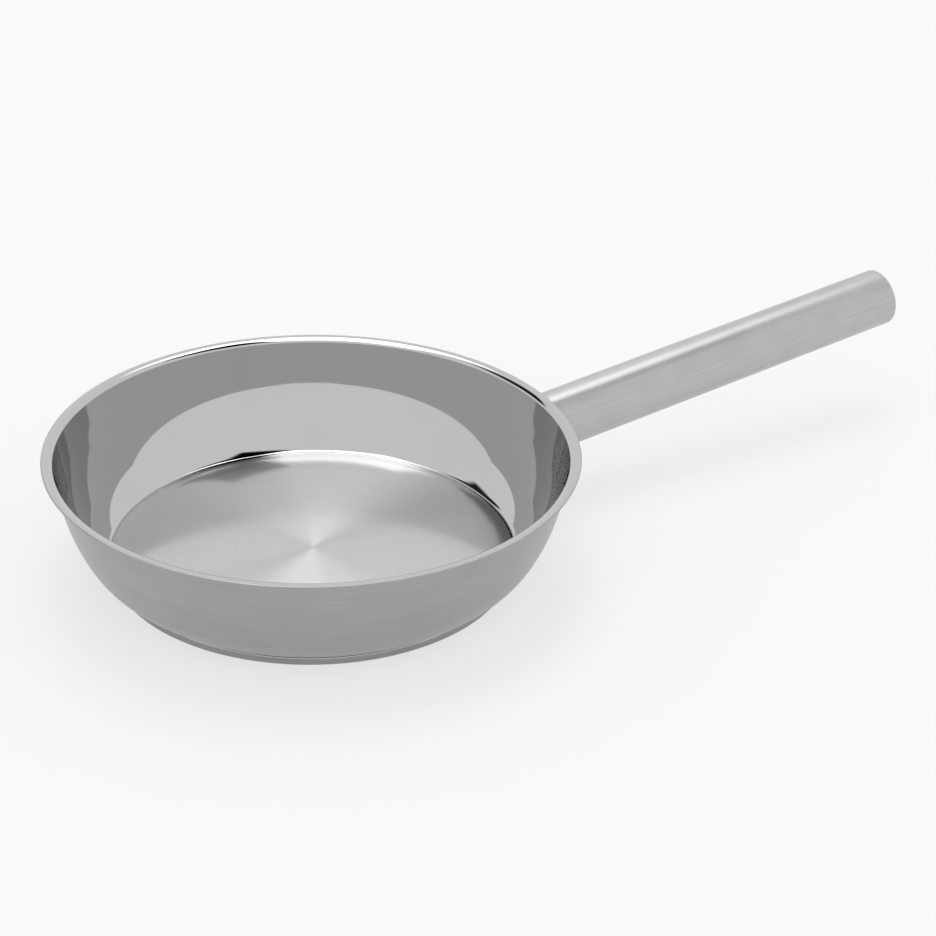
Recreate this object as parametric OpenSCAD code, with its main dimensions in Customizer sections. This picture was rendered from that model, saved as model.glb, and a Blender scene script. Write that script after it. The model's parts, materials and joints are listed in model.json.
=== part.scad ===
// Stainless frying pan with a pressed bowl, a capped aluminium base and a welded tubular handle.
// Origin: centre of the underside that rests on the hob. +Z is up and +X runs towards the handle.
// Lengths are in millimetres and angles in degrees.

/* [Bowl] */
// Outer diameter of the pouring rim
rim_d = 250; // [205:1:320]
// Height of the rim above the hob
pan_h = 58.4; // [50:0.1:90]
// Thickness of the pressed sheet
sheet_t = 0.9; // [0.6:0.1:1.5]
// Slope of the wall, from the horizontal, where the upper wall starts
wall_a = 76; // [72:1:78]
// Radius of the upper wall's slight curve
wall_r = 400; // [200:10:700]
// Radius of the tight crease round the cooking floor
crease_r = 5; // [3:0.1:7]
// Slope of the wall where the crease ends
crease_a = 35; // [25:1:40]
// Radius of the haunch above the crease
haunch_r = 33; // [26:0.5:38]
// Slope of the wall where the haunch ends
haunch_a = 61; // [55:1:66]
// Radius of the slow bend between haunch and upper wall
flare_r = 84; // [70:1:95]
// Radius inside the tight bend that turns the wall out into the rim
lip_r = 0.4; // [0.3:0.1:1]
// Slope of the rim at its inner corner
brim_a = 32; // [20:1:40]
// Radius of the rim's slow curve
brim_r = 6.4; // [4:0.1:9]
// Width of the flat band at the rim's outer edge
lip_w = 1.5; // [1.2:0.1:3]

/* [Base] */
// Diameter of the base that stands on the hob
base_d = 190; // [140:1:200]
// Thickness of the heat-spreading core
core_t = 4.7; // [3:0.1:7]
// Thickness of the steel cap round the core
cap_t = 0.6; // [0.4:0.1:1]
// Radius of the cap's bottom edge
cap_edge_r = 1.5; // [1.1:0.1:2.5]
// Height of the groove left between the cap's edge and the bowl
groove_h = 1.2; // [0.6:0.1:2]

/* [Handle] */
// Outer diameter of the tube
handle_d = 29.4; // [20:0.1:32]
// Length of the handle beyond the rim's outer edge, along its axis
handle_l = 222; // [120:1:320]
// Height of the handle's axis where it passes under the rim's outer edge
handle_z = 36.4; // [34:0.1:40]
// Upward tilt of the handle
handle_tilt = 5; // [0:0.5:10]
// Wall of the tube
tube_t = 1.2; // [0.8:0.1:2]
// Thickness of the end cap's face
end_t = 2; // [1.4:0.1:4]
// Radius of the end cap's outer edge
end_edge_r = 0.5; // [0.3:0.1:1.3]
// Length of the end cap's skirt inside the tube
end_skirt_l = 8; // [4:1:20]
// Depth of the mounting cup inside the tube
cup_l = 12; // [8:1:25]
// Sheet thickness of the mounting cup
cup_t = 1.5; // [1:0.1:2.5]
// Width of the weld bead round the tube's root
weld_w = 1.4; // [0.8:0.1:2.5]

/* [Hidden] */
$fn = 180;

// Slip clearance between the tube's bore and what is pushed into it
bore_gap = 0.05;
// Straight steps that each arc of the bowl's section is drawn in
arc_steps = 8;
// The tube starts inside the bowl's wall at this share of its own diameter, then is cut to the wall
root_share = 1.1;

rim_r = rim_d / 2;
base_r = base_d / 2;
core_r = base_r - cap_t;
core_edge_r = cap_edge_r - cap_t;
cap_h = cap_t + core_t - groove_h;
under_z = cap_t + core_t;
floor_z = under_z + sheet_t;
handle_r = handle_d / 2;
bore_r = handle_r - tube_t;
plug_r = bore_r - bore_gap;
tube_end = handle_l - end_t;
root_l = handle_d * root_share;

// The inner face of the bowl is a chain of tangent arcs, drawn outwards from the floor.
// A heading of 0 runs outwards along the floor, and 90 is straight up.
function outward(heading) = [sin(heading), -cos(heading)];
function turned(r, from, to) = r * [sin(to) - sin(from), cos(from) - cos(to)];

crease_run = turned(crease_r, 0, crease_a);
haunch_run = turned(haunch_r, crease_a, haunch_a);
flare_run = turned(flare_r, haunch_a, wall_a);
lower_run = crease_run + haunch_run + flare_run;
brim_run = turned(brim_r, 0, brim_a);
bend_r = lip_r + sheet_t;
upper_rise = pan_h - floor_z - (lower_run + brim_run)[1];
lip_a = acos((wall_r * cos(wall_a) + bend_r * cos(brim_a) - upper_rise) / (wall_r + bend_r));
wall_run = turned(wall_r, wall_a, lip_a);
lip_run = turned(bend_r, brim_a, lip_a);
floor_r = rim_r - lip_w - (lower_run + wall_run + lip_run + brim_run)[0];

floor_edge = [floor_r, floor_z];
haunch_start = floor_edge + crease_run;
flare_start = haunch_start + haunch_run;
wall_start = flare_start + flare_run;
lip_start = wall_start + wall_run;
brim_start = lip_start + lip_run;
brim_end = brim_start + brim_run;

crease_c = floor_edge - crease_r * outward(0);
haunch_c = haunch_start - haunch_r * outward(crease_a);
flare_c = flare_start - flare_r * outward(haunch_a);
wall_c = wall_start - wall_r * outward(wall_a);
lip_c = lip_start + bend_r * outward(lip_a);
brim_c = brim_start + brim_r * outward(brim_a);
edge_c = brim_end + [lip_w - sheet_t / 2, -sheet_t / 2];

// Points of an arc of radius r about c, without its first point
function arc(c, r, from, to) =
    [for (i = [1 : arc_steps]) c + r * outward(from + (to - from) * i / arc_steps)];

// The wall from the floor's edge to the foot of the tight bend, skin outside its inner face
function wall_line(skin) = concat(
    [[0, floor_z - skin], floor_edge + skin * outward(0)],
    arc(crease_c, crease_r + skin, 0, crease_a),
    arc(haunch_c, haunch_r + skin, crease_a, haunch_a),
    arc(flare_c, flare_r + skin, haunch_a, wall_a),
    arc(wall_c, wall_r + skin, wall_a, lip_a));

function reversed(points) = [for (i = [len(points) - 1 : -1 : 0]) points[i]];

// Section of the bowl: floor, crease, haunch, flare, upper wall, tight bend and rim with a round edge
module bowl_section() {
    polygon(concat(
        wall_line(0),
        arc(lip_c, -bend_r, lip_a, brim_a),
        arc(brim_c, -brim_r, brim_a, 0),
        [edge_c + [0, sheet_t / 2]],
        arc(edge_c, -sheet_t / 2, 0, -180),
        reversed(arc(brim_c, sheet_t - brim_r, brim_a, 0)),
        reversed(arc(lip_c, -lip_r, lip_a, brim_a)),
        reversed(wall_line(sheet_t))));
}

// Solid of everything inside the bowl's outer face, grown outwards by grow
module bowl_mass(grow = 0) {
    rotate_extrude() polygon(concat(wall_line(sheet_t + grow), [[0, lip_start[1]]]));
}

// Section of a disc of radius r and height h with a round bottom edge
module dish_section(r, h, edge_r) {
    square([r - edge_r, h]);
    translate([0, edge_r]) square([r, h - edge_r]);
    translate([r - edge_r, edge_r]) circle(r = edge_r);
}

// Places its children with their own Z along the handle's axis, from the rim's outer edge outwards
module along_handle() {
    translate([rim_r, 0, handle_z]) rotate([0, 90 - handle_tilt, 0]) children();
}

// Pressed stainless bowl with a polished wall and a turned-out pouring rim
module pan_body() {
    color([0.72, 0.72, 0.72]) rotate_extrude() bowl_section();
}

// Aluminium disc that spreads the heat, bonded to the underside of the bowl
module base_core() {
    color([0.62, 0.62, 0.63]) translate([0, 0, cap_t]) rotate_extrude() {
        dish_section(core_r, core_t, core_edge_r);
    }
}

// Magnetic steel cap pressed round the core
module base_cap() {
    color([0.52, 0.52, 0.52]) rotate_extrude() difference() {
        dish_section(base_r, cap_h, cap_edge_r);
        translate([0, cap_t]) dish_section(core_r, core_t, core_edge_r);
    }
}

// Tube of the handle, its root cut to the curve of the bowl's wall
module handle_tube() {
    color([0.70, 0.70, 0.70]) difference() {
        along_handle() translate([0, 0, -root_l]) difference() {
            cylinder(r = handle_r, h = root_l + tube_end);
            translate([0, 0, -tube_t]) cylinder(r = bore_r, h = root_l + tube_end + tube_t * 2);
        }
        bowl_mass();
    }
}

// Pressed cup welded to the bowl's wall, on which the tube is pushed home
module handle_mounting_cup() {
    color([0.60, 0.60, 0.60]) difference() {
        along_handle() translate([0, 0, -root_l]) cylinder(r = plug_r, h = root_l + cup_l);
        bowl_mass();
        difference() {
            along_handle() translate([0, 0, -root_l]) cylinder(r = plug_r - cup_t, h = root_l + cup_l * 2);
            bowl_mass(cup_t);
        }
    }
}

// Cap that closes the far end of the tube: a face with a round edge and a skirt inside the bore
module handle_end_cap() {
    color([0.70, 0.70, 0.70]) along_handle() translate([0, 0, handle_l]) mirror([0, 0, 1]) {
        rotate_extrude() difference() {
            union() {
                dish_section(handle_r, end_t, end_edge_r);
                translate([0, end_t]) square([plug_r, end_skirt_l]);
            }
            translate([0, end_t]) square([plug_r - tube_t, end_skirt_l + tube_t]);
        }
    }
}

// Weld bead in the corner between the tube and the bowl
module handle_weld() {
    color([0.58, 0.58, 0.58]) intersection() {
        difference() {
            bowl_mass(weld_w);
            bowl_mass();
        }
        along_handle() translate([0, 0, -root_l]) difference() {
            cylinder(r = handle_r + weld_w, h = root_l * 2);
            translate([0, 0, -weld_w]) cylinder(r = handle_r, h = root_l * 2 + weld_w * 2);
        }
    }
}

pan_body();
base_core();
base_cap();
handle_tube();
handle_mounting_cup();
handle_end_cap();
handle_weld();
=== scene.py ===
import json
import math
from typing import NamedTuple

import bpy
from bpy.props import FloatProperty, FloatVectorProperty, IntProperty, PointerProperty
from mathutils import Matrix, Vector


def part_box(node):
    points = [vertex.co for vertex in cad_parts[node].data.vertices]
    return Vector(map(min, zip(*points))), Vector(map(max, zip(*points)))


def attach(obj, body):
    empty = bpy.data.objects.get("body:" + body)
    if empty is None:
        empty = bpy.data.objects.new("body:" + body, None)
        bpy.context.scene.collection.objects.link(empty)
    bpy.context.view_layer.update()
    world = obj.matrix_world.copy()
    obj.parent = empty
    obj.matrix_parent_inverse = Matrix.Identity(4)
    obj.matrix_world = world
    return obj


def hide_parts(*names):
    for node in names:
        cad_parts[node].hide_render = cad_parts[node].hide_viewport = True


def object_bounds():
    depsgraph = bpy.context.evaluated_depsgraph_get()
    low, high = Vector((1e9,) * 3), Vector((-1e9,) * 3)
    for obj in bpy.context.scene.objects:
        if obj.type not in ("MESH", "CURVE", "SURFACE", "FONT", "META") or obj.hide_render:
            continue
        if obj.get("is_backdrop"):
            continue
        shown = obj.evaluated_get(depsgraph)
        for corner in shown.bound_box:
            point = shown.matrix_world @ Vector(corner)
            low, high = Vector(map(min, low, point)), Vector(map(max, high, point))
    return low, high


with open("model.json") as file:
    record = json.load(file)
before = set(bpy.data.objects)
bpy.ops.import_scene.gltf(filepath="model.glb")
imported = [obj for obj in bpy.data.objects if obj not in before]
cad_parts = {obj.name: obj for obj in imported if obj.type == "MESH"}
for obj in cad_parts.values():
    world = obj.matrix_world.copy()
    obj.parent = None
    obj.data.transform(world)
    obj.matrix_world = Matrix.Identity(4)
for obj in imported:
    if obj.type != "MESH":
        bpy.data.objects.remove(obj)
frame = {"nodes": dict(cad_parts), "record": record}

bl_info = {
    "name": "Tube-handled frying pan",
    "version": (1, 0, 0),
    "blender": (4, 5, 0),
    "location": "3D View > Sidebar > Frying Pan",
    "description": "Dresses a stainless frying pan with its brushed and polished finishes",
    "category": "Add Mesh",
}

CAD_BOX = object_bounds()
BODY = "root"
MOUNTS = {mount["name"]: mount for mount in frame["record"]["mounts"]}
GRIP = MOUNTS["handle_grip"]
HANDLE_AXIS = Vector(GRIP["axis"]).normalized()
# The photograph is square, and this many pixels wide.
PHOTO_WIDTH = 936
# Its focal length in the same pixels.
PHOTO_FOCAL = 2608.2
SENSOR_WIDTH = 36.0
WHITE = (1.0, 1.0, 1.0, 1.0)
# How often light is followed from wall to wall inside the bowl.
MIRRORINGS = 12

# Faces that meet at more than this angle keep a sharp edge between them.
CORNER = math.radians(35.0)
# A point nearer the axis than this, in metres, lies on it.
ON_AXIS = 1e-7
# Steps from the centre of the cooking floor to its edge, and across the flat band of the rim.
FLOOR_STEPS = 24
BAND_STEPS = 2
# How far the sheet turns in one step of a slow bend, and of the tight one under the rim.
SLOW_STEP = math.radians(1.0)
TIGHT_STEP = math.radians(4.0)
# Steps of a small round edge, and of the one round the bottom of the core.
EDGE_STEPS = 8
CORE_EDGE_STEPS = 6
# Rings across the base's underside and across the handle's end face.
UNDERSIDE_RINGS = 12
END_RINGS = 8
# Rings along the handle tube.
TUBE_RINGS = 40
# Halvings that find where a line along the handle meets the bowl.
HALVINGS = 30
# The weld bead: steps across its face, ripples round it, their height as a share of the bead's width,
# and how far the face is hollowed towards the corner, as a share of its depth.
WELD_STEPS = 6
WELD_RIPPLES = 64
WELD_SWELL_SHARE = 0.06
WELD_HOLLOW_SHARE = 0.25


class SkyPatch(NamedTuple):
    """An oblong of light or dark in the studio's sky, on a plane one unit above the pan.

    Its sides are given to the right of the pan's axis and ahead of it, as the photograph's camera
    looks. The sides fade over the edge, inwards and outwards."""

    left: float
    right: float
    near: float
    far: float
    edge: float
    strength: float


SOFTBOX = SkyPatch(left=-0.34, right=0.26, near=0.03, far=0.90, edge=0.04, strength=3.2)
RIGHT_GAP = SkyPatch(left=0.11, right=0.42, near=-0.13, far=0.43, edge=0.03, strength=0.0)
LEFT_GAP = SkyPatch(left=-1.05, right=-0.46, near=0.44, far=1.10, edge=0.06, strength=0.02)
# A ray's rise, as a share of its length, is taken as this at least. Lower rays then miss every patch.
LEAST_RISE = 0.05


def metres(name, description, default):
    """A length property in metres."""
    return FloatProperty(name=name, description=description, default=default, unit="LENGTH", precision=5)


def degrees(name, description, default):
    """An angle property, its default given in degrees."""
    return FloatProperty(name=name, description=description, default=math.radians(default), subtype="ANGLE")


def tone(name, description, grey):
    """A neutral metal colour property."""
    return FloatVectorProperty(
        name=name, description=description, default=(grey, grey, grey), subtype="COLOR", min=0.0, max=1.0
    )


def strength(name, description, default):
    """A plain number property that can't be negative."""
    return FloatProperty(name=name, description=description, default=default, min=0.0)


class BowlSizes(bpy.types.PropertyGroup):
    sheet: metres("Sheet", "Thickness of the pressed sheet", 0.0009)
    rim_radius: metres("Rim radius", "Outer radius of the pouring rim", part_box("pan_body")[1].x)
    rim_height: metres("Rim height", "Height of the rim above the hob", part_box("pan_body")[1].z)
    underside: metres("Underside", "Height of the bowl's underside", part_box("pan_body")[0].z)
    wall_slope: degrees("Wall slope", "Slope where the upper wall starts, from the horizontal", 76.0)
    wall_radius: metres("Wall radius", "Radius of the upper wall's slight curve", 0.400)
    crease_radius: metres("Crease radius", "Radius of the crease round the cooking floor", 0.005)
    crease_slope: degrees("Crease slope", "Slope of the wall where the crease ends", 35.0)
    haunch_radius: metres("Haunch radius", "Radius of the haunch above the crease", 0.033)
    haunch_slope: degrees("Haunch slope", "Slope of the wall where the haunch ends", 61.0)
    flare_radius: metres("Flare radius", "Radius of the slow bend up to the upper wall", 0.084)
    lip_radius: metres("Lip radius", "Radius of the tight bend that turns the wall out into the rim", 0.0013)
    brim_slope: degrees("Brim slope", "Slope of the rim at its inner corner", 32.0)
    brim_radius: metres("Brim radius", "Radius of the rim's slow curve", 0.0064)
    lip_width: metres("Lip width", "Width of the flat band at the rim's outer edge", 0.0015)
    segments: IntProperty(name="Segments", description="Steps round the bowl", default=320, min=32)


class BaseSizes(bpy.types.PropertyGroup):
    radius: metres("Base radius", "Radius of the capped base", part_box("base_cap")[1].x)
    cap_height: metres("Cap height", "Height of the cap's side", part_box("base_cap")[1].z)
    cap_sheet: metres("Cap sheet", "Thickness of the cap's steel", 0.0006)
    edge_radius: metres("Edge radius", "Radius of the cap's bottom edge", 0.0015)


class HandleSizes(bpy.types.PropertyGroup):
    radius: metres("Tube radius", "Outer radius of the handle tube", GRIP["dims"]["r_mm"] / 1000)
    wall: metres("Tube wall", "Wall thickness of the tube", 0.0012)
    end_face: metres("End face", "Thickness of the end cap's face", 0.002)
    end_edge: metres("End edge", "Radius of the end cap's outer edge", 0.0005)
    skirt: metres("End skirt", "Length of the end cap's skirt inside the tube", 0.008)
    slip: metres("Slip", "Clearance between the tube's bore and the end cap's skirt", 0.00005)
    weld: metres("Weld width", "Width of the weld bead round the tube's root", 0.0014)
    segments: IntProperty(name="Segments", description="Steps round the tube", default=128, min=24)


class SteelTones(bpy.types.PropertyGroup):
    polished: tone("Polished steel", "Mirror wall and rim", 0.54)
    turned: tone("Turned floor", "Cooking floor brushed in circles", 0.61)
    satin: tone("Satin steel", "Outside of the bowl", 0.40)
    cap: tone("Cap steel", "Side and underside of the base cap", 0.34)
    # The cap's cut upper edge has a bright tone that paints a highlight line along it.
    highlit_edge: tone("Trimmed steel", "Cut upper edge of the base cap", 0.66)
    core: tone("Core aluminium", "Edge of the heat-spreading core", 0.30)
    handle: tone("Handle steel", "Tube brushed along its length", 0.49)
    weld: tone("Weld steel", "Brushed weld bead", 0.44)


class StageSettings(bpy.types.PropertyGroup):
    floor_tone: tone("Floor", "Colour of the floor", 0.8)
    floor_white: strength("Floor white", "How far the seen floor goes to white, up to 1", 0.65)
    floor_size: metres("Floor size", "Width of the square floor", 8.0)
    sky: strength("Sky", "Strength of the even studio light", 0.95)
    stand_back: metres("Stand back", "Camera's distance from the pan's axis, over the floor", 1.0732)
    camera_height: metres("Camera height", "Camera's height above the floor", 0.6230)
    camera_turn: degrees("Camera turn", "Turn of the camera round the pan, from -Y towards -X", 30.05)
    look_right: degrees("Look right", "Turn of the view to the right of the pan's axis", 3.863)
    look_down: degrees("Look down", "Dip of the view below the horizon", 28.133)
    roll: degrees("Roll", "Turn of the camera about its own view", 1.297)


class Level:
    """A number that varies over a surface or the sky. Python's operators on it add Math nodes."""

    def __init__(self, tree, socket):
        self.tree = tree
        self.socket = socket

    def __add__(self, other):
        return self.tree.maths("ADD", self, other)

    def __mul__(self, other):
        return self.tree.maths("MULTIPLY", self, other)

    def __truediv__(self, other):
        return self.tree.maths("DIVIDE", self, other)

    def __pow__(self, other):
        return self.tree.maths("POWER", self, other)

    def __rsub__(self, other):
        return self.tree.maths("SUBTRACT", other, self)

    __radd__ = __add__
    __rmul__ = __mul__

    def past(self, limit, edge):
        """0 below the limit, 1 above it, smooth over the edge on both sides of it."""
        return self.tree.node(
            "ShaderNodeMapRange",
            {"interpolation_type": "SMOOTHSTEP"},
            {"Value": self, "From Min": limit - edge, "From Max": limit + edge},
        )

    def between(self, low, high, edge):
        """1 from low to high and 0 outside, with smooth edges."""
        return self.past(low, edge) * (1 - self.past(high, edge))


class Tree:
    """The nodes of a material or of the sky."""

    def __init__(self, owner):
        owner.use_nodes = True
        self.node_tree = owner.node_tree
        self.node_tree.nodes.clear()

    def node(self, kind, settings=None, sockets=None, output=0):
        """Adds a node, sets its settings, then the values or links of its sockets."""
        made = self.node_tree.nodes.new(kind)
        for key, value in (settings or {}).items():
            setattr(made, key, value)
        for key, value in (sockets or {}).items():
            if isinstance(value, Level):
                self.node_tree.links.new(value.socket, made.inputs[key])
            else:
                made.inputs[key].default_value = value
        return Level(self, made.outputs[output]) if made.outputs else None

    def maths(self, operation, first, second):
        """A Math node on two numbers, of which at least one is a Level."""
        return self.node("ShaderNodeMath", {"operation": operation}, {0: first, 1: second})


class Finish(Tree):
    """One surface finish: a material and the nodes that make it."""

    # Added to a squared radius, so that a division by the radius holds on the axis too.
    NOT_ZERO = 1e-9

    def __init__(self, name):
        self.material = bpy.data.materials.new(name)
        super().__init__(self.material)

    def spot(self):
        """The place in the piece's own space."""
        return self.node("ShaderNodeTexCoord", output="Object")

    def place(self):
        """The x, y and z of the piece's own space."""
        split = {"Vector": self.spot()}
        return [self.node("ShaderNodeSeparateXYZ", None, split, output=axis) for axis in "XYZ"]

    def vector(self, x, y, z):
        return self.node("ShaderNodeCombineXYZ", None, {"X": x, "Y": y, "Z": z})

    def noise(self, vector, w, detail, scale=1.0):
        """Noise from 0 to 1 about 0.5. Another w gives another noise."""
        return self.node(
            "ShaderNodeTexNoise",
            {"noise_dimensions": "4D"},
            {"Vector": vector, "W": w, "Scale": scale, "Detail": detail},
        )

    def rings(self, across, along, seed, detail=2.0):
        """Grain that runs in circles about the piece's Z axis.

        across is how many grains there are in a metre, and along how many in a turn's radian."""
        x, y, z = self.place()
        radius = (x * x + y * y + self.NOT_ZERO) ** 0.5
        ring = self.vector(x / radius * along, y / radius * along, z * across)
        return self.noise(ring, radius * across + seed, detail)

    def strokes(self, across, along, seed, detail=2.0):
        """Grain that runs along the piece's Z axis, with across and along grains in a metre."""
        x, y, z = self.place()
        return self.noise(self.vector(x * across, y * across, z * along), seed, detail)

    def clouds(self, scale, seed, detail=2.0):
        """Soft blotches, scale of them in a metre."""
        return self.noise(self.spot(), seed, detail, scale)

    def shade(self, colour, factor):
        """The colour made lighter or darker by factor, which is 1 where it stays."""
        return self.node(
            "ShaderNodeVectorMath", {"operation": "SCALE"}, {0: tuple(colour), "Scale": factor}
        )

    def bump(self, height, microns):
        """A normal bent by a height from 0 to 1, whose full height is that many thousandths of a mm."""
        return self.node("ShaderNodeBump", None, {"Height": height, "Distance": microns / 1e6})

    def metal(self, colour, roughness, normal, anisotropy=0.0, turn=0.0):
        """A metal surface."""
        return self.node(
            "ShaderNodeBsdfPrincipled",
            None,
            {
                "Base Color": colour,
                "Metallic": 1.0,
                "Roughness": roughness,
                "Normal": normal,
                "Anisotropic": anisotropy,
                "Anisotropic Rotation": turn,
            },
        )

    def done(self, surface):
        """Ends the tree in the surface."""
        self.node("ShaderNodeOutputMaterial", None, {"Surface": surface})
        return self.material


# A quarter turn of the anisotropy: the finish is rough across rings that run round the Z axis.
ACROSS_RINGS = 0.25


def polished_steel(tones):
    """Mirror-polished wall and rim: faint polishing rings and hairline scratches."""
    finish = Finish("polished_steel")
    rings = finish.rings(across=900.0, along=3.0, seed=1.0, detail=3.0)
    hazy = finish.clouds(scale=30.0, seed=2.0)
    hairs = finish.rings(across=5200.0, along=14.0, seed=3.0)
    colour = finish.shade(tones.polished, 0.97 + 0.06 * hazy)
    roughness = 0.02 + 0.015 * hazy + 0.02 * rings
    normal = finish.bump(0.7 * rings + 0.3 * hairs, microns=1.2)
    return finish.done(finish.metal(colour, roughness, normal))


def turned_steel(tones):
    """Cooking floor: fine rings turned about its centre, in part polished down."""
    finish = Finish("turned_steel")
    rings = finish.rings(across=1500.0, along=1.6, seed=5.0, detail=4.0)
    bands = finish.rings(across=160.0, along=0.6, seed=6.0)
    hazy = finish.clouds(scale=22.0, seed=7.0)
    colour = finish.shade(tones.turned, 0.90 + 0.10 * rings + 0.06 * bands + 0.04 * hazy)
    normal = finish.bump(rings, microns=0.6)
    ridged = 0.27 + 0.04 * bands + 0.06 * rings
    ridges = finish.metal(colour, ridged, normal, anisotropy=0.95, turn=ACROSS_RINGS)
    worn = 0.09 + 0.03 * bands + 0.02 * rings
    flats = finish.metal(colour, worn, normal, anisotropy=0.9, turn=ACROSS_RINGS)
    share = 0.52 + 0.1 * bands
    return finish.done(finish.node("ShaderNodeMixShader", None, {0: share, 1: ridges, 2: flats}))


def satin_steel(tones):
    """Outside of the bowl and edge of its rim: satin, with grain that runs round it and longer marks."""
    finish = Finish("satin_steel")
    grain = finish.rings(across=1400.0, along=5.0, seed=11.0, detail=4.0)
    marks = finish.rings(across=420.0, along=1.5, seed=12.0)
    hazy = finish.clouds(scale=34.0, seed=13.0, detail=5.0)
    colour = finish.shade(tones.satin, 0.71 + 0.24 * grain + 0.14 * marks + 0.20 * hazy)
    roughness = 0.30 + 0.10 * grain + 0.06 * hazy
    normal = finish.bump(0.8 * grain + 0.2 * marks, microns=12.0)
    return finish.done(finish.metal(colour, roughness, normal, anisotropy=0.6, turn=ACROSS_RINGS))


def cap_steel(tones):
    """Base cap: coarser turned rings, scuffed by the hob underneath."""
    finish = Finish("cap_steel")
    rings = finish.rings(across=1100.0, along=3.0, seed=21.0, detail=4.0)
    bands = finish.rings(across=260.0, along=0.8, seed=23.0)
    scuffs = finish.clouds(scale=60.0, seed=22.0, detail=4.0)
    colour = finish.shade(tones.cap, 0.59 + 0.34 * rings + 0.26 * bands + 0.18 * scuffs)
    roughness = 0.32 + 0.12 * rings + 0.06 * scuffs
    normal = finish.bump(rings, microns=15.0)
    return finish.done(finish.metal(colour, roughness, normal, anisotropy=0.6, turn=ACROSS_RINGS))


def highlit_edge_steel(tones):
    """Cut upper edge of the base cap: its bright tone paints a highlight line along it, with fine marks
    along it.
    """
    finish = Finish("highlit_edge_steel")
    marks = finish.rings(across=1600.0, along=24.0, seed=25.0, detail=3.0)
    stain = finish.clouds(scale=90.0, seed=26.0)
    # The bright tone here paints a highlight line, not the steel's own colour.
    colour = finish.shade(tones.highlit_edge, 0.85 + 0.2 * marks + 0.1 * stain)
    return finish.done(finish.metal(colour, 0.2 + 0.1 * marks, finish.bump(marks, microns=6.0)))


def core_aluminium(tones):
    """Matt turned edge of the aluminium core."""
    finish = Finish("core_aluminium")
    rings = finish.rings(across=2400.0, along=4.0, seed=31.0)
    pits = finish.clouds(scale=900.0, seed=32.0)
    colour = finish.shade(tones.core, 0.85 + 0.2 * rings + 0.08 * pits)
    return finish.done(finish.metal(colour, 0.5 + 0.2 * pits, finish.bump(rings, microns=20.0)))


def handle_steel(tones):
    """Tube brushed along its length."""
    finish = Finish("handle_steel")
    strokes = finish.strokes(across=900.0, along=11.0, seed=41.0, detail=4.0)
    broad = finish.strokes(across=230.0, along=12.0, seed=42.0, detail=3.0)
    hazy = finish.clouds(scale=70.0, seed=43.0, detail=4.0)
    colour = finish.shade(tones.handle, 0.65 + 0.32 * strokes + 0.18 * broad + 0.20 * hazy)
    roughness = 0.24 + 0.08 * strokes + 0.08 * broad
    normal = finish.bump(0.7 * strokes + 0.3 * broad, microns=8.0)
    return finish.done(finish.metal(colour, roughness, normal, anisotropy=0.6))


def end_steel(tones):
    """Face of the handle's end cap, turned in fine rings."""
    finish = Finish("end_steel")
    rings = finish.rings(across=900.0, along=2.0, seed=51.0, detail=4.0)
    hazy = finish.clouds(scale=110.0, seed=52.0, detail=3.0)
    colour = finish.shade(tones.handle, 0.69 + 0.40 * rings + 0.22 * hazy)
    normal = finish.bump(rings, microns=8.0)
    roughness = 0.22 + 0.14 * rings
    return finish.done(finish.metal(colour, roughness, normal, anisotropy=0.6, turn=ACROSS_RINGS))


def weld_steel(tones):
    """Weld bead, brushed after welding and a little darker than the tube."""
    finish = Finish("weld_steel")
    ripples = finish.clouds(scale=900.0, seed=61.0, detail=3.0)
    stain = finish.clouds(scale=120.0, seed=62.0)
    colour = finish.shade(tones.weld, 0.8 + 0.2 * ripples + 0.15 * stain)
    return finish.done(finish.metal(colour, 0.3 + 0.2 * ripples, finish.bump(ripples, microns=50.0)))


def pressed_steel(tones):
    """Plain pressed steel of the hidden mounting cup."""
    finish = Finish("pressed_steel")
    hazy = finish.clouds(scale=150.0, seed=71.0, detail=3.0)
    grain = finish.clouds(scale=2500.0, seed=72.0)
    colour = finish.shade(tones.cap, 0.9 + 0.15 * hazy)
    return finish.done(finish.metal(colour, 0.35 + 0.15 * hazy, finish.bump(grain, microns=10.0)))


class SheetLine:
    """Section of a bent sheet, drawn along its inner face as points with their outward normals."""

    def __init__(self, radius, height):
        self.at = Vector((radius, height))
        self.heading = 0.0
        self.points = []
        self.keep()

    def outward(self):
        return Vector((math.sin(self.heading), -math.cos(self.heading)))

    def keep(self):
        self.points.append((self.at.copy(), self.outward()))

    def straight(self, length, steps):
        step = Vector((math.cos(self.heading), math.sin(self.heading))) * (length / steps)
        for _ in range(steps):
            self.at = self.at + step
            self.keep()

    def bend(self, radius, heading, step):
        """Turns to the new heading on an arc of that radius, left if it is larger and right if not."""
        turn = heading - self.heading
        steps = max(2, math.ceil(abs(turn) / step))
        side = math.copysign(radius, turn)
        centre = self.at - self.outward() * side
        for _ in range(steps):
            self.heading += turn / steps
            self.at = centre + self.outward() * side
            self.keep()

    def face(self, skin=0.0):
        """The line moved outwards by skin."""
        return [point + normal * skin for point, normal in self.points]


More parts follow.
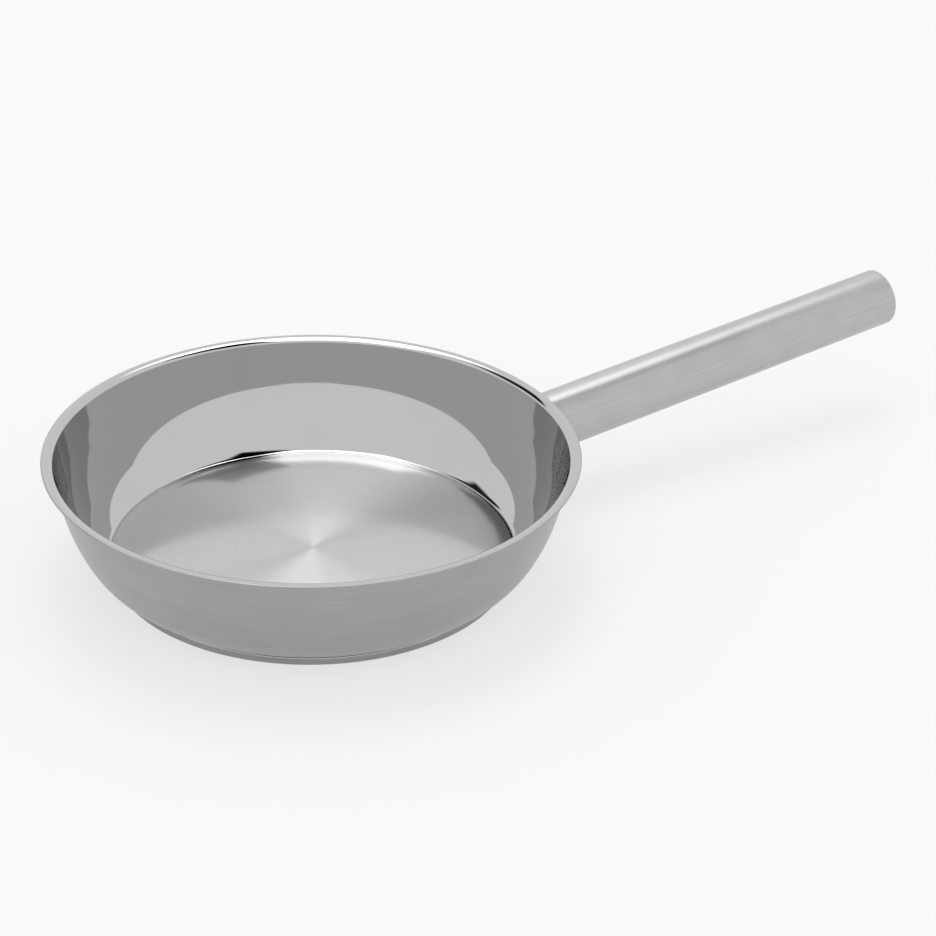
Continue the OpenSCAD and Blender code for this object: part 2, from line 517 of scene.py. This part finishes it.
def bowl_line(bowl):
    """Inner face of the bowl from its centre to the rim, and how many of its points lie on the floor."""
    slopes = [0.0, bowl.crease_slope, bowl.haunch_slope, bowl.wall_slope]
    radii = [bowl.crease_radius, bowl.haunch_radius, bowl.flare_radius]
    turns = list(zip(radii, slopes, slopes[1:]))
    floor_height = bowl.underside + bowl.sheet
    rise = sum(radius * (math.cos(a) - math.cos(b)) for radius, a, b in turns)
    brim_rise = bowl.brim_radius * (1 - math.cos(bowl.brim_slope))
    upper_rise = bowl.rim_height - floor_height - rise - brim_rise
    across = bowl.wall_radius * math.cos(bowl.wall_slope) + bowl.lip_radius * math.cos(bowl.brim_slope)
    lip_slope = math.acos((across - upper_rise) / (bowl.wall_radius + bowl.lip_radius))
    turns.append((bowl.wall_radius, bowl.wall_slope, lip_slope))
    bends = turns + [(bowl.lip_radius, bowl.brim_slope, lip_slope), (bowl.brim_radius, 0.0, bowl.brim_slope)]
    run = sum(radius * (math.sin(b) - math.sin(a)) for radius, a, b in bends)
    floor_radius = bowl.rim_radius - run - bowl.lip_width
    line = SheetLine(0.0, floor_height)
    line.straight(floor_radius, FLOOR_STEPS)
    on_floor = len(line.points)
    for radius, _, slope in turns:
        line.bend(radius, slope, SLOW_STEP)
    line.bend(bowl.lip_radius, bowl.brim_slope, TIGHT_STEP)
    line.bend(bowl.brim_radius, 0.0, SLOW_STEP)
    line.straight(bowl.lip_width - bowl.sheet / 2, BAND_STEPS)
    return line, on_floor


def round_edge(centre, radius, start, end, steps=EDGE_STEPS):
    """Points of an arc about centre, without its two ends. Angles run from +r towards +z."""
    return [
        centre + Vector((math.cos(a), math.sin(a))) * radius
        for a in (start + (end - start) * i / steps for i in range(1, steps))
    ]


def lathe(name, outline, segments, finishes, finish_of):
    """Turns a closed outline of (radius, height) points about Z. Its first and last points may lie on
    the axis. finish_of takes the place of a point in the outline and gives its finish's number."""
    mesh = bpy.data.meshes.new(name)
    points, faces, slots, rings = [], [], [], []
    for spot in outline:
        if spot.x < ON_AXIS:
            rings.append([len(points)] * segments)
            points.append((0.0, 0.0, spot.y))
            continue
        rings.append(list(range(len(points), len(points) + segments)))
        for i in range(segments):
            angle = 2 * math.pi * i / segments
            points.append((spot.x * math.cos(angle), spot.x * math.sin(angle), spot.y))
    ends_on_axis = outline[0].x < ON_AXIS and outline[-1].x < ON_AXIS
    for k in range(len(outline) - (1 if ends_on_axis else 0)):
        low, high = rings[k], rings[(k + 1) % len(outline)]
        for i in range(segments):
            j = (i + 1) % segments
            corners = [low[i], low[j], high[j], high[i]]
            face = [c for n, c in enumerate(corners) if c not in corners[:n]]
            faces.append(face[::-1])
            slots.append(finish_of(k))
    mesh.from_pydata(points, [], faces)
    mesh.polygons.foreach_set("material_index", slots)
    return dressed(name, mesh, finishes)


def dressed(name, mesh, finishes):
    """Makes a smooth-shaded object of the mesh, with its finishes, in the scene."""
    for finish in finishes:
        mesh.materials.append(finish)
    mesh.validate()
    mesh.shade_smooth()
    mesh.set_sharp_from_angle(angle=CORNER)
    made = bpy.data.objects.new(name, mesh)
    bpy.context.scene.collection.objects.link(made)
    return made


def seat(made, node):
    """Puts a piece in the place of a CAD node, on the pan's body."""
    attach(made, BODY)
    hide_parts(node)


def handle_place(radius):
    """The frame of the handle: Z along its axis, its origin where the axis passes the radius."""
    start = Vector(GRIP["pos_m"])
    start = start - HANDLE_AXIS * ((start.x - radius) / HANDLE_AXIS.x)
    across = Vector((0.0, 1.0, 0.0))
    up = HANDLE_AXIS.cross(across)
    turn = Matrix((across, up, HANDLE_AXIS)).transposed().to_4x4()
    return Matrix.Translation(start) @ turn


def wall_radius(line, bowl, height):
    """Radius of the bowl's outer face at a height."""
    face = line.face(bowl.sheet)
    for low, high in zip(face, face[1:]):
        if low.y <= height <= high.y and high.y > low.y:
            return low.x + (high.x - low.x) * (height - low.y) / (high.y - low.y)
    return face[-1].x


def root_length(line, bowl, place, offset, reach):
    """How far along the handle's axis a line beside it, at offset, meets the bowl's outer face."""
    low, high = -reach, reach
    for _ in range(HALVINGS):
        middle = (low + high) / 2
        spot = place @ (offset + Vector((0.0, 0.0, middle)))
        if math.hypot(spot.x, spot.y) < wall_radius(line, bowl, spot.z):
            low = middle
        else:
            high = middle
    return (low + high) / 2


class PAN_OT_bowl(bpy.types.Operator):
    """Turn the pressed bowl with its floor, wall and rim"""

    bl_idname = "pan.bowl"
    bl_label = "Bowl"

    def execute(self, context):
        bowl, tones = context.scene.pan_bowl, context.scene.pan_tones
        line, on_floor = bowl_line(bowl)
        inside, outside = line.face(), line.face(bowl.sheet)
        centre = (inside[-1] + outside[-1]) / 2
        edge = round_edge(centre, bowl.sheet / 2, math.pi / 2, -math.pi / 2)
        outline = inside + edge + outside[::-1]
        finishes = [turned_steel(tones), polished_steel(tones), satin_steel(tones)]

        def finish_of(place):
            if place < on_floor - 1:
                return 0
            return 1 if place < len(inside) - 1 else 2

        made = lathe("bowl", outline, bowl.segments, finishes, finish_of)
        seat(made, "pan_body")
        return {"FINISHED"}


class PAN_OT_base(bpy.types.Operator):
    """Turn the base: the aluminium core and the steel cap round it"""

    bl_idname = "pan.base"
    bl_label = "Base"

    def execute(self, context):
        bowl, base, tones = context.scene.pan_bowl, context.scene.pan_base, context.scene.pan_tones
        corner = Vector((base.radius - base.edge_radius, base.edge_radius))
        self.cap(bowl, base, corner, tones)
        self.core(bowl, base, corner, tones)
        return {"FINISHED"}

    def cap(self, bowl, base, corner, tones):
        """Shallow dish with a round bottom edge, its upper edge cut round and given a bright tone that
        paints a highlight line.
        """
        sheet, edge = base.cap_sheet, base.edge_radius
        half = sheet / 2
        rim = Vector((base.radius - half, base.cap_height - half))
        outline = [Vector((0.0, sheet)), corner + Vector((0.0, sheet - edge))]
        outline += round_edge(corner, edge - sheet, -math.pi / 2, 0.0)
        outline += [corner + Vector((edge - sheet, 0.0)), rim - Vector((half, 0.0))]
        # The cut upper edge, which gets the bright tone that paints a highlight line.
        highlit_edge_start = len(outline) - 1
        outline += round_edge(rim, half, math.pi, 0.0)
        highlit_edge_end = len(outline)
        outline += [rim + Vector((half, 0.0)), corner + Vector((edge, 0.0))]
        outline += round_edge(corner, edge, 0.0, -math.pi / 2)
        underside = range(UNDERSIDE_RINGS, -1, -1)
        outline += [Vector((corner.x * i / UNDERSIDE_RINGS, 0.0)) for i in underside]
        finishes = [cap_steel(tones), highlit_edge_steel(tones)]

        def finish_of(place):
            return 1 if highlit_edge_start <= place < highlit_edge_end else 0

        made = lathe("base_cap_steel", outline, bowl.segments, finishes, finish_of)
        seat(made, "base_cap")

    def core(self, bowl, base, corner, tones):
        """Disc between the bowl and the cap, with the cap's own round edge inside."""
        sheet, edge, top = base.cap_sheet, base.edge_radius, bowl.underside
        radius = base.radius - sheet
        outline = [Vector((0.0, top)), Vector((radius, top)), Vector((radius, edge))]
        outline += round_edge(corner, edge - sheet, 0.0, -math.pi / 2, CORE_EDGE_STEPS)
        outline += [Vector((corner.x, sheet)), Vector((0.0, sheet))]
        finishes = [core_aluminium(tones)]
        made = lathe("base_core_disc", outline, bowl.segments, finishes, lambda place: 0)
        seat(made, "base_core")


class PAN_OT_handle(bpy.types.Operator):
    """Make the handle: its tube, its end cap, its weld bead and the finish of its mounting cup"""

    bl_idname = "pan.handle"
    bl_label = "Handle"

    def execute(self, context):
        bowl, handle, tones = context.scene.pan_bowl, context.scene.pan_handle, context.scene.pan_tones
        line, _ = bowl_line(bowl)
        place = handle_place(bowl.rim_radius)
        length = self.handle_length(place, handle)
        steel = handle_steel(tones)
        self.tube(line, bowl, handle, place, length, steel)
        self.end_cap(handle, place, length, steel, end_steel(tones))
        self.weld(line, bowl, handle, place, weld_steel(tones))
        cup = frame["nodes"]["handle_mounting_cup"]
        cup.data.materials.clear()
        cup.data.materials.append(pressed_steel(tones))
        return {"FINISHED"}

    def handle_length(self, place, handle):
        """Length from the rim to the end face, from how far the end cap reaches along X."""
        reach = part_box("handle_end_cap")[1].x - place.translation.x
        flat = handle.radius - handle.end_edge
        return (reach - flat * HANDLE_AXIS.z - handle.end_edge) / HANDLE_AXIS.x + handle.end_edge

    def roots(self, line, bowl, place, radius, segments):
        """Where each line along a tube of that radius meets the bowl, as (offset, length)."""
        found = []
        for i in range(segments):
            angle = 2 * math.pi * i / segments
            offset = Vector((math.cos(angle), math.sin(angle), 0.0)) * radius
            found.append((offset, root_length(line, bowl, place, offset, radius * 2)))
        return found

    def tube(self, line, bowl, handle, place, length, steel):
        """Tube cut to the bowl's wall: outer face, end edge, bore and root edge."""
        segments, end = handle.segments, length - handle.end_face
        outer = self.roots(line, bowl, place, handle.radius, segments)
        inner = self.roots(line, bowl, place, handle.radius - handle.wall, segments)
        points, faces = [], []
        for found, order in ((outer, range(TUBE_RINGS + 1)), (inner, range(TUBE_RINGS, -1, -1))):
            for step in order:
                for offset, root in found:
                    points.append(offset + Vector((0.0, 0.0, root + (end - root) * step / TUBE_RINGS)))
        rings = 2 * (TUBE_RINGS + 1)
        for ring in range(rings):
            low, high = ring * segments, (ring + 1) % rings * segments
            for i in range(segments):
                j = (i + 1) % segments
                faces.append((low + i, low + j, high + j, high + i))
        mesh = bpy.data.meshes.new("handle_tube_steel")
        mesh.from_pydata(points, [], faces)
        made = dressed("handle_tube_steel", mesh, [steel])
        made.matrix_world = place
        seat(made, "handle_tube")

    def end_cap(self, handle, place, length, steel, end):
        """Cap with a round outer edge and a skirt inside the bore."""
        radius, edge = handle.radius, handle.end_edge
        plug = radius - handle.wall - handle.slip
        bore = plug - handle.wall
        shoulder = length - handle.end_face
        back = shoulder - handle.skirt
        corner = Vector((radius - edge, length - edge))
        outline = [Vector((corner.x * i / END_RINGS, length)) for i in range(END_RINGS + 1)]
        outline += round_edge(corner, edge, math.pi / 2, 0.0)
        face_end = len(outline) - 1
        outline += [Vector((radius, corner.y)), Vector((radius, shoulder)), Vector((plug, shoulder))]
        outline += [Vector((plug, back)), Vector((bore, back)), Vector((bore, shoulder))]
        outline += [Vector((0.0, shoulder))]

        def finish_of(place):
            return 1 if place < face_end else 0

        made = lathe("handle_end_steel", outline, handle.segments, [steel, end], finish_of)
        made.matrix_world = place
        seat(made, "handle_end_cap")

    def weld(self, line, bowl, handle, place, steel):
        """Bead in the corner between the tube and the wall, a little hollow and lightly rippled."""
        segments, width = handle.segments * 2, handle.weld
        toe = self.roots(line, bowl, place, handle.radius, segments)
        brim = self.roots(line, bowl, place, handle.radius + width, segments)
        points, faces = [], []
        for i in range(segments):
            (near, near_root), (far, far_root) = toe[i], brim[i]
            swell = 1 + WELD_SWELL_SHARE * math.sin(2 * math.pi * WELD_RIPPLES * i / segments)
            foot = near + Vector((0.0, 0.0, near_root))
            top = near + Vector((0.0, 0.0, near_root + width * swell))
            outer = far + Vector((0.0, 0.0, far_root))
            points.append(foot)
            for step in range(WELD_STEPS + 1):
                share = step / WELD_STEPS
                straight = top.lerp(outer, share)
                points.append(straight + (foot - straight) * (WELD_HOLLOW_SHARE * math.sin(math.pi * share)))
        count = WELD_STEPS + 2
        for i in range(segments):
            low, high = i * count, (i + 1) % segments * count
            for k in range(count):
                m = (k + 1) % count
                faces.append((low + k, low + m, high + m, high + k))
        mesh = bpy.data.meshes.new("handle_weld_bead")
        mesh.from_pydata(points, [], faces)
        made = dressed("handle_weld_bead", mesh, [steel])
        made.matrix_world = place
        seat(made, "handle_weld")


class PAN_OT_stage(bpy.types.Operator):
    """Set the floor, the studio light and the camera"""

    bl_idname = "pan.stage"
    bl_label = "Stage"

    def execute(self, context):
        stage = context.scene.pan_stage
        self.floor(context, stage)
        self.sky(context, stage)
        self.camera(context, stage)
        context.scene.view_settings.view_transform = "Standard"
        context.scene.cycles.glossy_bounces = MIRRORINGS
        return {"FINISHED"}

    def floor(self, context, stage):
        """Pale floor that takes the pan's shadow, and is whiter where it is seen than where it lights."""
        finish = Finish("studio_floor")
        specks = finish.clouds(scale=4.0, seed=81.0)
        colour = finish.shade(stage.floor_tone, 0.99 + 0.02 * specks)
        paper = finish.node("ShaderNodeBsdfDiffuse", None, {"Color": colour})
        white = finish.node("ShaderNodeEmission", None, {"Strength": 1.0})
        rays = ("Is Camera Ray", "Is Glossy Ray", "Is Transmission Ray")
        camera, glossy, through = (finish.node("ShaderNodeLightPath", output=ray) for ray in rays)
        share = (camera + glossy + through) * stage.floor_white
        half = stage.floor_size / 2
        mesh = bpy.data.meshes.new("studio_floor")
        corners = [(-half, -half, 0.0), (half, -half, 0.0), (half, half, 0.0), (-half, half, 0.0)]
        mesh.from_pydata(corners, [], [(0, 1, 2, 3)])
        surface = finish.node("ShaderNodeMixShader", None, {0: share, 1: paper, 2: white})
        mesh.materials.append(finish.done(surface))
        made = bpy.data.objects.new("studio_floor", mesh)
        context.scene.collection.objects.link(made)
        made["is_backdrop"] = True

    def sky(self, context, stage):
        """An even white studio with a softbox overhead and an unlit gap on either side of it.

        The camera sees the even studio alone."""
        world = bpy.data.worlds.new("studio_sky")
        context.scene.world = world
        sky = Tree(world)
        ray = sky.node("ShaderNodeTexCoord", output="Generated")
        view = stage.camera_turn + stage.look_right
        axes = ((math.cos(view), -math.sin(view), 0.0), (math.sin(view), math.cos(view), 0.0))
        rise = sky.node("ShaderNodeSeparateXYZ", None, {"Vector": ray}, output="Z")
        rise = sky.maths("MAXIMUM", rise, LEAST_RISE)
        across, ahead = (
            sky.node("ShaderNodeVectorMath", {"operation": "DOT_PRODUCT"}, {0: ray, 1: axis}, "Value") / rise
            for axis in axes
        )
        level = stage.sky
        for patch in (SOFTBOX, RIGHT_GAP, LEFT_GAP):
            share = across.between(patch.left, patch.right, patch.edge)
            share = share * ahead.between(patch.near, patch.far, patch.edge)
            level = level + share * (patch.strength - level)
        seen = sky.node("ShaderNodeLightPath", output="Is Camera Ray")
        level = level + seen * (stage.sky - level)
        background = sky.node("ShaderNodeBackground", None, {"Color": WHITE, "Strength": level})
        sky.node("ShaderNodeOutputWorld", None, {"Surface": background})

    def camera(self, context, stage):
        """Camera at the photograph's place, with its view and roll."""
        lens = bpy.data.cameras.new("photo_camera")
        lens.sensor_width = SENSOR_WIDTH
        lens.lens = PHOTO_FOCAL / PHOTO_WIDTH * SENSOR_WIDTH
        made = bpy.data.objects.new("photo_camera", lens)
        context.scene.collection.objects.link(made)
        turn, view = stage.camera_turn, stage.camera_turn + stage.look_right
        made.location = (
            -stage.stand_back * math.sin(turn),
            -stage.stand_back * math.cos(turn),
            stage.camera_height,
        )
        dip = stage.look_down
        ahead = Vector((math.sin(view) * math.cos(dip), math.cos(view) * math.cos(dip), -math.sin(dip)))
        right = Vector((math.cos(view), -math.sin(view), 0.0))
        over = right.cross(ahead)
        rolled_right = right * math.cos(stage.roll) + over * math.sin(stage.roll)
        rolled_over = over * math.cos(stage.roll) - right * math.sin(stage.roll)
        aim = Matrix((rolled_right, rolled_over, -ahead)).transposed()
        made.rotation_mode = "QUATERNION"
        made.rotation_quaternion = aim.to_quaternion()
        context.scene.camera = made


class PAN_PT_panel(bpy.types.Panel):
    """The pan's operators and sizes"""

    bl_idname = "PAN_PT_panel"
    bl_label = "Frying Pan"
    bl_space_type = "VIEW_3D"
    bl_region_type = "UI"
    bl_category = "Frying Pan"

    def draw(self, context):
        for operator in OPERATORS:
            self.layout.operator(operator.bl_idname)
        for name in GROUPS:
            box = self.layout.box()
            settings = getattr(context.scene, name)
            for key in settings.bl_rna.properties.keys():
                if key not in ("rna_type", "name"):
                    box.prop(settings, key)


OPERATORS = (PAN_OT_bowl, PAN_OT_base, PAN_OT_handle, PAN_OT_stage)
GROUPS = {
    "pan_bowl": BowlSizes,
    "pan_base": BaseSizes,
    "pan_handle": HandleSizes,
    "pan_tones": SteelTones,
    "pan_stage": StageSettings,
}


def register():
    for name, group in GROUPS.items():
        bpy.utils.register_class(group)
        setattr(bpy.types.Scene, name, PointerProperty(type=group))
    for operator in OPERATORS:
        bpy.utils.register_class(operator)
    bpy.utils.register_class(PAN_PT_panel)


def unregister():
    bpy.utils.unregister_class(PAN_PT_panel)
    for operator in reversed(OPERATORS):
        bpy.utils.unregister_class(operator)
    for name, group in reversed(GROUPS.items()):
        delattr(bpy.types.Scene, name)
        bpy.utils.unregister_class(group)


def main():
    register()
    bpy.ops.pan.bowl()
    bpy.ops.pan.base()
    bpy.ops.pan.handle()
    bpy.ops.pan.stage()
    boxes = {"cad": CAD_BOX, "visual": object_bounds()}
    {name: [list(corner) for corner in box] for name, box in boxes.items()}


if __name__ == "__main__":
    main()
